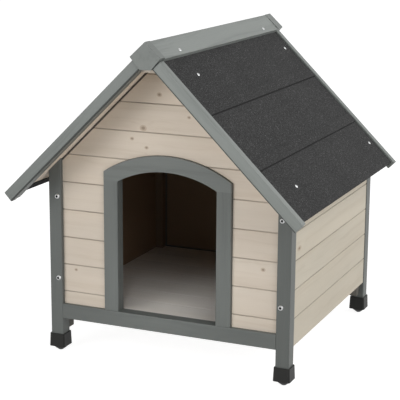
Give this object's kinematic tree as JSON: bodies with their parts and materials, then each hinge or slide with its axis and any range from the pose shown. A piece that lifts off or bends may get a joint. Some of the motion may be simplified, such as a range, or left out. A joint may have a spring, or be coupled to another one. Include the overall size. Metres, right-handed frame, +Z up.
{
  "type": "dog house",
  "caption": "Wooden dog house with a saddle roof, arched doorway, corner posts on foot caps, felted roof slopes, ridge cap and a lift-out floor panel.",
  "frame": {"origin": "on the ground, under the middle of the overall box", "axes": "+X to the right seen from the front, +Y from the doorway to the back, +Z up"},
  "size_m": [0.7168, 0.753, 0.763],
  "materials": {
    "painted_timber": "opaque grey paint, matt",
    "stained_boards": "pale beige wood stain, matt",
    "inner_timber": "pale beige wood stain, matt",
    "roofing_felt": "mineral-granule bitumen felt",
    "foot_caps": "moulded plastic",
    "screws": "zinc-plated"
  },
  "bodies": {
    "house": {"back_barge_left": "painted_timber", "back_barge_right": "painted_timber", "back_boards": "stained_boards", "back_gable_boards": "stained_boards", "back_rafter_left": "inner_timber", "back_rafter_right": "inner_timber", "back_rail": "painted_timber", "door_header": "painted_timber", "door_jamb_left": "painted_timber", "door_jamb_right": "painted_timber", "felt_lower_left": "roofing_felt", "felt_lower_right": "roofing_felt", "felt_middle_left": "roofing_felt", "felt_middle_right": "roofing_felt", "felt_upper_left": "roofing_felt", "felt_upper_right": "roofing_felt", "floor_ledge_left": "inner_timber", "floor_ledge_right": "inner_timber", "foot_cap_back_left": "foot_caps", "foot_cap_back_right": "foot_caps", "foot_cap_front_left": "foot_caps", "foot_cap_front_right": "foot_caps", "front_arch_board_left": "stained_boards", "front_arch_board_right": "stained_boards", "front_barge_left": "painted_timber", "front_barge_right": "painted_timber", "front_boards_left": "stained_boards", "front_boards_right": "stained_boards", "front_gable_board": "stained_boards", "front_lath_left": "painted_timber", "front_lath_right": "painted_timber", "front_lintel_board": "stained_boards", "front_peak_boards": "stained_boards", "front_rafter_left": "inner_timber", "front_rafter_right": "inner_timber", "front_rail": "painted_timber", "post_back_left": "painted_timber", "post_back_right": "painted_timber", "post_front_left": "painted_timber", "post_front_right": "painted_timber", "post_screws": "screws", "ridge_beam": "stained_boards", "ridge_block_back": "painted_timber", "ridge_block_front": "painted_timber", "ridge_cap_left": "painted_timber", "ridge_cap_right": "painted_timber", "roof_boards_left": "stained_boards", "roof_boards_right": "stained_boards", "side_batten_back_left": "painted_timber", "side_batten_back_right": "painted_timber", "side_batten_front_left": "painted_timber", "side_batten_front_right": "painted_timber", "side_boards_left": "stained_boards", "side_boards_right": "stained_boards"},
    "floor": {"floor_boards": "inner_timber", "floor_cleats": "inner_timber"}
  },
  "joints": [
    {"name": "floor_lift", "type": "slide", "parent": "house", "child": "floor", "axis": [0, 0, 1], "range_m": [0, 0.06]}
  ]
}
